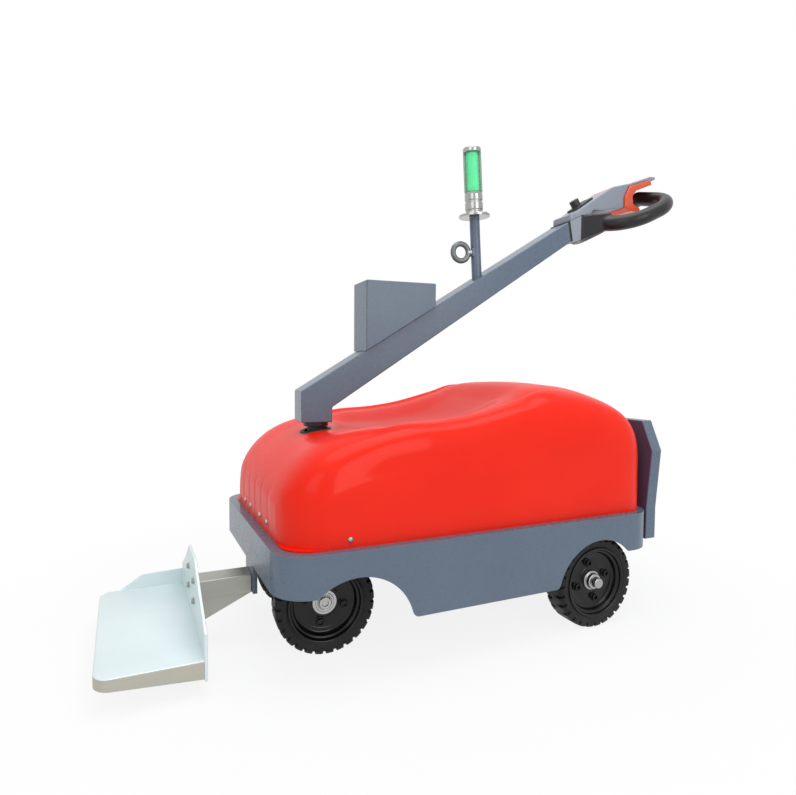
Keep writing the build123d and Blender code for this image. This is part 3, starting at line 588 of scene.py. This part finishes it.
FRONT_SCREW_Z, SIDE_SCREW_Z = COVER_LOW.z + 24 * MM, COVER_LOW.z + 17 * MM
SCREW_RAYS = [((-1, y, FRONT_SCREW_Z), (1, 0, 0)) for y in (-117 * MM, -50 * MM, 50 * MM, 117 * MM)]
SCREW_RAYS += [((SKIRT_FRONT + 148 * MM, -hand, SIDE_SCREW_Z), (0, hand, 0)) for hand in (1, -1)]
cover_surface = surface_of(cover.data)
for i, (start, towards) in enumerate(SCREW_RAYS):
    hit, normal, _, _ = cover_surface.ray_cast(Vector(start), Vector(towards))
    outward = normal if normal.dot(Vector(towards)) < 0 else -normal
    dome_screw(f"cover_screw_{i}", "cover", frame_at(hit, outward))


# Chassis plates and hitch

soft_copy("skirt", 2.0 * MM, 3)
SOFT_EDGES = (
    ("tray_back_plate", 1.4), ("drawbar_tube", 2.4), ("drawbar_gusset", 1.2), ("belly_pan", 1.0),
    ("battery_pack", 3.0), ("rear_axle", 2.5), ("axle_hanger_near", 2.0), ("axle_hanger_far", 2.0),
    ("steer_bogie", 2.0), ("steer_bearing", 2.0),
)
for node, width in SOFT_EDGES:
    soft_copy(node, width * MM, 2)
for node in ("drawbar_flange", "front_deck", "rear_deck"):
    refinish(soft_copy(node, 1.2 * MM, 2), "chassis_paint")
refinish(soft_copy("steer_column", 0.8 * MM, 2), "cast_black")
refinish(soft_copy("column_collar", 1.2 * MM, 2), "black_rubber")


def off_cover_side(face):
    return face.normal.x > -0.6


second_finish(soft_copy("rear_panel", 3.0 * MM, 3), "chassis_paint", off_cover_side)

PLATE_LOW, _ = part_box("tray_back_plate")
TRAY_LOW, TRAY_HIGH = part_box("tow_tray")
TRAY_TOP, TRAY_SHEET, TRAY_CORNER = 70 * MM, 5 * MM, 30 * MM
LIP_NOSE, LIP_BACK, LIP_STRAIGHT = 22 * MM, 36 * MM, 80 * MM
LIP_ROUND = ((0.0, 3.0), (0.5, 1.4), (1.4, 0.5), (3.0, 0.0))
CHEEK_RISE, CHEEK_BACK, CHEEK_MIDDLE = 36 * MM, 45 * MM, 0.9
TRAY_BOLTS = [(y, z) for z in (122 * MM, 166 * MM) for y in (-52 * MM, 52 * MM)]


def tray_line():
    """The tray's edge in plan from its near back corner, round the front, to its far back corner."""
    half = TRAY_HIGH.y
    near = [Vector((TRAY_HIGH.x, -half)), Vector((TRAY_HIGH.x - LIP_STRAIGHT, -half))]
    near += [Vector(p) for p in arc((TRAY_LOW.x + TRAY_CORNER, -half + TRAY_CORNER), TRAY_CORNER, 270, 180)]
    return near + [Vector((p.x, -p.y)) for p in reversed(near)]


def lip_section(x):
    """Section of sheet and lip as (distance inward, z), deeper towards the back."""
    share = (x - TRAY_LOW.x) / (TRAY_HIGH.x - TRAY_LOW.x)
    foot = TRAY_TOP - LIP_NOSE - (LIP_BACK - LIP_NOSE) * share
    edge = [(inward * MM, TRAY_TOP - down * MM) for inward, down in LIP_ROUND]
    return [(TRAY_SHEET, TRAY_TOP - TRAY_SHEET), (TRAY_SHEET, foot), (0.0, foot)] + edge


def add_cheek(bm):
    """Upright plate on the tray's far side."""
    middle = (TRAY_LOW.x + TRAY_HIGH.x) / 2
    outline = ((TRAY_LOW.x + CHEEK_BACK, 0), (TRAY_HIGH.x, 0), (TRAY_HIGH.x, CHEEK_RISE),
               (middle, CHEEK_MIDDLE * CHEEK_RISE))
    inner, outer = [[bm.verts.new((x, y, TRAY_TOP + z)) for x, z in outline]
                    for y in (TRAY_HIGH.y - TRAY_SHEET, TRAY_HIGH.y)]
    bm.faces.new(inner)
    bm.faces.new(outer[::-1])
    for k in range(len(outline)):
        bm.faces.new((inner[k - 1], inner[k], outer[k], outer[k - 1]))


def tray_shell():
    """Flat plate whose lip runs round the rounded front corners, with a cheek on the far side."""
    bm = bmesh.new()
    line = tray_line()
    rings = []
    for i, p in enumerate(line):
        run = (line[min(i + 1, len(line) - 1)] - line[max(i - 1, 0)]).normalized()
        inward = Vector((run.y, -run.x))
        rings.append([bm.verts.new((*(p + inward * d), z)) for d, z in lip_section(p.x)])
    for one, two in zip(rings, rings[1:]):
        for k in range(len(one) - 1):
            bm.faces.new((one[k], one[k + 1], two[k + 1], two[k]))
    first, last = rings[0], rings[-1]
    bm.faces.new([ring[-1] for ring in rings])
    bm.faces.new([ring[0] for ring in reversed(rings)])
    bm.faces.new(first[::-1])
    bm.faces.new(last)
    bm.faces.new((first[0], first[-1], last[-1], last[0]))
    add_cheek(bm)
    return to_mesh(bm, "tray_shell", sharp=35)


# Faces below the tray's top, which take the darker steel as painted shade.
def on_shaded_lip(face):
    return face.normal.z < 0.3 and face.center.z < TRAY_TOP


second_finish(piece("tray_shell", tray_shell(), "tow_tray", replaces=("tow_tray",)), "tray_lip_shade", on_shaded_lip)
for i, (y, z) in enumerate(TRAY_BOLTS):
    spot = frame_at((PLATE_LOW.x, y, z), (-1, 0, 0), (0, 1, 0))
    hex_bolt(f"tray_bolt_{i}", "tray_back_plate", spot, across=10.0, height=6.0, washer=8.0)


# Tiller arm, box, lamp and eye: turned profiles in mm above the foot of the lamp's post

soft_copy("tiller_arm", 3.0 * MM, 3)
soft_copy("control_box", 2.2 * MM, 3)

ARM_HEEL_X, ARM_HEEL_Z, ARM_SLOPE = -43.0, 568.05, 0.62003
POST_X = 429.0
POST_Z = ARM_HEEL_Z + ARM_SLOPE * (POST_X - ARM_HEEL_X)
POST = TILLER @ move(POST_X * MM, 0, POST_Z * MM) @ turn(-3.5, "Y")
FROM_POST = POST.inverted()
POST_FLANGE_LOW = 153.5 * MM
POST_FLANGE_TOP, POST_BOLT_R = 160 * MM, 31.5 * MM


def on_post_flange(face):
    return (FROM_POST @ face.center).z > POST_FLANGE_LOW


second_finish(soft_copy("lamp_post", 1.2 * MM, 2), "lamp_chrome", on_post_flange)

LAMP_FOOT = [
    (0, 160), (23.3, 160), (23.3, 166), (21.6, 167.5), (21.6, 171), (23.3, 172.5), (23.3, 190),
    (21.6, 191.5), (21.6, 195), (23.3, 196.5), (23.3, 210), (22.0, 217), (0, 217),
]
LAMP_LENS = [(19.6, 217.2), (23.0, 217.2), (23.4, 219), (23.4, 315), (23.0, 316.8), (19.6, 316.8)]
LAMP_CORE = [
    (0, 217.3), (13.4, 217.3), (14.4, 219), (14.4, 267), (13.6, 268), (13.6, 270), (14.4, 271), (14.4, 314),
    (13.2, 316.6), (0, 316.6),
]
LAMP_CAP = [
    (0, 317), (22.6, 317), (23.4, 318.5), (23.4, 326), (22.4, 328.6), (18.5, 330.6), (11, 331.6),
    (0, 331.9),
]
CORE_RIBS, RIB_DEPTH = 18, 1.0


def core_ribs(angle, r, a):
    return r - RIB_DEPTH * (1 - math.cos(CORE_RIBS * angle)) / 2, a


turned("lamp_foot_turned", "lamp_foot", POST, rounded(LAMP_FOOT, 0.8), 64, sharp=55)
turned("lamp_lens_tube", "lamp_lens", POST, LAMP_LENS, 64, closed=True)
turned("lamp_core_ribbed", "lamp_core", POST, LAMP_CORE, 144, shape=core_ribs)
turned("lamp_cap_domed", "lamp_cap", POST, rounded(LAMP_CAP, 1.0), 64, sharp=50)

EYE_X, EYE_Z, STEM_X = -44 * MM, 64.5 * MM, -15.2 * MM
EYE_R, EYE_WIRE_R = 21.6, 7.0
EYE_RING = [(EYE_R + x, y) for x, y in circle(EYE_WIRE_R, 24)]
EYE_STEM = [(0, 0), (9.5, 0), (9.5, 4), (7.4, 5.5), (7.4, 10), (0, 10)]
piece("eye_ring", lathe("eye_ring", EYE_RING, closed=True), "eye_bolt", replaces=("eye_bolt",),
      slot="dull_zinc", matrix=POST @ move(EYE_X, 0, EYE_Z) @ turn(90, "X"))
piece("eye_stem", lathe("eye_stem", rounded(EYE_STEM, 0.6), 32), "eye_bolt",
      matrix=POST @ move(STEM_X, 0, EYE_Z) @ turn(-90, "Y"))
for i, (x, y) in enumerate(circle(POST_BOLT_R, 4, first=45)):
    spot = POST @ move(x, y, POST_FLANGE_TOP)
    hex_bolt(f"lamp_bolt_{i}", "lamp_post", spot, across=6.0, height=4.5, washer=5.0)


# Grip head

FROM_TILLER = TILLER.inverted()
PATCH_FROM, PATCH_TO, PATCH_HALF = 818 * MM, 893 * MM, 30 * MM
ARM_END = move(696 * MM, 0, 968 * MM) @ turn(-10.9, "Y")
NECK_END = move(728 * MM, 0, 974.5 * MM)
ARM_SEAM, YOKE_SEAM = (7.0, 82.0, 54.0), (5.0, 82.0, 67.0)


def on_top_patch(face):
    here = FROM_TILLER @ face.center
    return PATCH_FROM < here.x < PATCH_TO and abs(here.y) < PATCH_HALF and face.normal.z > 0.6


moulded("grip_loop", voxel=2.6 * MM, rounds=14)
second_finish(moulded("tiller_head", voxel=2.0 * MM, rounds=7), "paddle_orange", on_top_patch)
moulded("paddle", voxel=1.8 * MM, rounds=8)
refinish(soft_copy("tiller_neck", 2.0 * MM, 2), "head_grey")
soft_copy("key_switch", 1.5 * MM, 3)
slab("neck_seam_arm", ARM_SEAM, "tiller_neck", TILLER @ ARM_END, "seam_dark")
slab("neck_seam_yoke", YOKE_SEAM, "tiller_neck", TILLER @ NECK_END, "seam_dark")


# Wheels: profiles in mm about each wheel's axis, outward side up

LUGS, LUG_DEPTH, LUG_SLANT = 28, 5.5, 0.006
TREAD_STEPS = 12 * LUGS
GROOVE_RISE, GROOVE_FALL = (0.34, 0.39), (0.61, 0.66)
MIDDLE_RIB, TREAD_EDGE, TREAD_FOOT = (8, 10), (24, 28), (98.0, 102.5)
TYRE_SIDE = [
    (80.5, 26.6), (84.6, 26.8), (87.0, 28.4), (89.0, 29.7), (90.5, 29.3), (93.0, 29.3), (94.5, 29.9),
    (99.0, 29.9), (103.5, 29.6), (106.4, 28.4), (108.6, 26.4), (110.0, 23.6), (110.4, 20.0), (110.4, 14.5),
    (110.4, 9.0), (110.4, 4.0),
]
TYRE = TYRE_SIDE + [(110.4, 0.0)] + [(r, -a) for r, a in reversed(TYRE_SIDE)]
RIM = [
    (24.4, 8.0), (33.0, 8.0), (34.5, 7.0), (57.0, 7.0), (59.0, 8.0), (64.5, 8.0), (68.0, 9.5), (70.0, 13.0),
    (71.2, 19.0), (73.4, 20.6), (75.6, 21.0), (77.0, 23.0), (78.0, 27.6), (80.0, 29.4), (82.4, 29.9),
    (83.9, 28.9), (83.9, 27.2), (80.0, 26.8), (80.0, -26.8), (83.9, -27.2), (83.9, -29.6), (74.2, -29.6),
    (74.0, 2.2), (24.4, 2.2),
]
HUB_BACK = [(0, -23.8), (23.8, -23.8), (23.8, -4.2), (37.8, -4.0), (37.8, 1.8), (24.2, 1.9)]
FRONT_HUB = HUB_BACK + [
    (24.0, 9.2), (27.0, 9.4), (27.0, 12.0), (21.0, 12.0), (20.2, 13.4), (16.5, 13.4), (15.6, 12.4),
    (14.0, 12.4), (13.8, 18.2), (12.4, 19.8), (7.4, 19.8), (7.0, 15.6), (0, 15.6),
]
REAR_HUB = HUB_BACK + [
    (24.0, 11.8), (22.6, 13.4), (19.0, 13.8), (18.9, 21.6), (17.6, 23.4), (13.6, 24.0), (10.4, 25.2),
    (10.2, 28.4), (12.6, 30.0), (12.8, 35.6), (11.0, 37.7), (0, 37.9),
]
SOCKET_HEAD = [(10.6, 0), (10.6, 1.2), (8.6, 1.5), (8.6, 7.6), (7.8, 8.6), (5.2, 8.6), (4.9, 3.4), (0, 3.4)]
BOLT_R, BOLT_SEAT = 45 * MM, 7 * MM
AXLE_Z = 110.5 * MM
FRONT_X, FRONT_Y = -14 * MM, 135 * MM
REAR_X, REAR_Y = SKIRT_FRONT + 776 * MM, 268 * MM
WHEELS = (
    # name, place of its middle, side, hub, angle of the first bolt
    ("front_near", TILLER @ move(FRONT_X, -FRONT_Y, AXLE_Z), -1, FRONT_HUB, -12),
    ("front_far", TILLER @ move(FRONT_X, FRONT_Y, AXLE_Z), 1, FRONT_HUB, 12),
    ("rear_near", move(REAR_X, -REAR_Y, AXLE_Z), -1, REAR_HUB, 14),
    ("rear_far", move(REAR_X, REAR_Y, AXLE_Z), 1, REAR_HUB, -14),
)


def tread(angle, r, a):
    """Grooves between slanted lugs, half a lug apart on the two sides of a plain middle rib."""
    stagger = 0.5 if a > 0 else 0.0
    share = (LUGS * angle / (2 * math.pi) + stagger + abs(a) * LUG_SLANT) % 1.0
    groove = band(share, GROOVE_RISE, GROOVE_FALL)
    deep = LUG_DEPTH * groove * step(*MIDDLE_RIB, abs(a)) * step(*TREAD_FOOT, r)
    return r - deep, a - math.copysign(0.5, a) * deep * step(*TREAD_EDGE, abs(a))


for wheel, place, hand, hub, first in WHEELS:
    at = place @ turn(-90 * hand, "X")
    turned(wheel + "_tread", wheel + "_tyre", at, TYRE, TREAD_STEPS, closed=True, sharp=38, shape=tread)
    turned(wheel + "_dish", wheel + "_rim", at, rounded(RIM, 1.4), 120, closed=True, sharp=60)
    turned(wheel + "_cap", wheel + "_hub", at, rounded(hub, 0.7), 72, sharp=50)
    for i, (x, y) in enumerate(circle(BOLT_R, 4, first)):
        name = f"{wheel}_bolt_{i}"
        piece(name, lathe(name, rounded(SOCKET_HEAD, 0.5), 30, sharp=50), wheel + "_rim", slot="rim_black",
              matrix=at @ move(x, y, BOLT_SEAT))


# Stage, light and camera

WHITE = (1, 1, 1, 1)
AMBIENT, AMBIENT_LEAST, AMBIENT_MOST = (0.96, 0.98, 1.0, 1), 0.16, 0.62
SKY_RANGE = (-0.1, 0.75)
FLOOR_PALE, FLOOR_PALER = (0.90, 0.90, 0.90, 1), (0.93, 0.93, 0.93, 1)
FLOOR_HALF, FLOOR_GRAIN = 9.0, 3.0
FADE_RANGE, FADE_LEAST = (0.7, 1.3), 0.86
STUDIO_LAMPS = (
    # name, place, aim, size, watts
    ("top", (0.1, -0.3, 3.2), (0.0, 0.0, 0.3), 2.6, 46),
    ("front_left", (-2.6, -2.2, 2.0), (0.0, 0.0, 0.4), 1.8, 15),
    ("near_side", (0.6, -3.4, 1.6), (0.0, 0.0, 0.4), 1.8, 28),
)
CAMERA_SPOT = (SKIRT_FRONT - 0.2538, -1.3654, 0.630)
CAMERA_YAW, CAMERA_DIP, CAMERA_ROLL = -24.97, 3.12, 0.44
SENSOR, LENS = 36, 26.815


def background_rays(tree):
    """1 for rays that see the backdrop: from the camera, in a reflection or through glass."""
    path = add(tree, "ShaderNodeLightPath")
    seen = path.outputs["Is Camera Ray"]
    for kind in ("Is Glossy Ray", "Is Transmission Ray"):
        seen = combine(tree, "MAXIMUM", seen, path.outputs[kind])
    return seen


def pale_floor():
    """White to the rays that see the backdrop, with the object's shadow showing through near it."""
    made = bpy.data.materials.new("floor_white")
    made.use_nodes = True
    tree = made.node_tree
    shader = tree.nodes["Principled BSDF"]
    place = add(tree, "ShaderNodeTexCoord").outputs["Object"]
    colour = blend(tree, noise(tree, place, FLOOR_GRAIN), FLOOR_PALE, FLOOR_PALER)
    tree.links.new(colour, shader.inputs["Base Color"])
    shader.inputs["Roughness"].default_value = 0.9
    shader.inputs["Specular IOR Level"].default_value = 0.0
    white = add(tree, "ShaderNodeEmission", ((0, WHITE), (1, 1.0)))
    far = add(tree, "ShaderNodeVectorMath", ((0, place),), operation="LENGTH").outputs["Value"]
    fade = spread(tree, far, *FADE_RANGE, FADE_LEAST, 1.0)
    share = combine(tree, "MULTIPLY", fade, background_rays(tree))
    mixed = add(tree, "ShaderNodeMixShader", ((0, share), (1, shader.outputs[0]), (2, white.outputs[0])))
    tree.links.new(mixed.outputs[0], tree.nodes["Material Output"].inputs["Surface"])
    return made


def make_floor():
    bm = bmesh.new()
    bmesh.ops.create_grid(bm, x_segments=8, y_segments=8, size=FLOOR_HALF)
    obj = bpy.data.objects.new("floor", to_mesh(bm, "floor"))
    bpy.context.scene.collection.objects.link(obj)
    obj.data.materials.append(pale_floor())
    return obj


def make_world():
    """Soft light from above, and plain white to the rays that see the backdrop."""
    world = bpy.context.scene.world or bpy.data.worlds.new("studio")
    bpy.context.scene.world = world
    world.use_nodes = True
    tree = world.node_tree
    tree.nodes.clear()
    sky = add(tree, "ShaderNodeTexCoord").outputs["Generated"]
    height = add(tree, "ShaderNodeSeparateXYZ", ((0, sky),)).outputs[2]
    strength = spread(tree, height, *SKY_RANGE, AMBIENT_LEAST, AMBIENT_MOST)
    ambient = add(tree, "ShaderNodeBackground", ((0, AMBIENT), (1, strength))).outputs[0]
    white = add(tree, "ShaderNodeBackground", ((0, WHITE), (1, 1.0))).outputs[0]
    mixed = add(tree, "ShaderNodeMixShader", ((0, background_rays(tree)), (1, ambient), (2, white)))
    output = add(tree, "ShaderNodeOutputWorld")
    tree.links.new(mixed.outputs[0], output.inputs["Surface"])


def make_lamp(name, place, aim, size, watts):
    light = bpy.data.lights.new(name, "AREA")
    light.size = size
    light.energy = watts
    obj = bpy.data.objects.new(name, light)
    bpy.context.scene.collection.objects.link(obj)
    obj.location = place
    obj.rotation_euler = (Vector(aim) - Vector(place)).to_track_quat("-Z", "Y").to_euler()


def make_camera():
    """The photograph's camera: to the left of the object, looking slightly down."""
    view = bpy.data.cameras.new("photo_view")
    view.sensor_width = SENSOR
    view.lens = LENS
    camera = bpy.data.objects.new("photo_view", view)
    bpy.context.scene.collection.objects.link(camera)
    aim = turn(CAMERA_YAW, "Z") @ turn(90 - CAMERA_DIP, "X") @ turn(CAMERA_ROLL, "Z")
    camera.matrix_world = move(*CAMERA_SPOT) @ aim
    return camera


make_floor()
make_world()
for lamp in STUDIO_LAMPS:
    make_lamp(*lamp)
bpy.context.scene.camera = make_camera()
bpy.context.scene.view_settings.view_transform = "Standard"
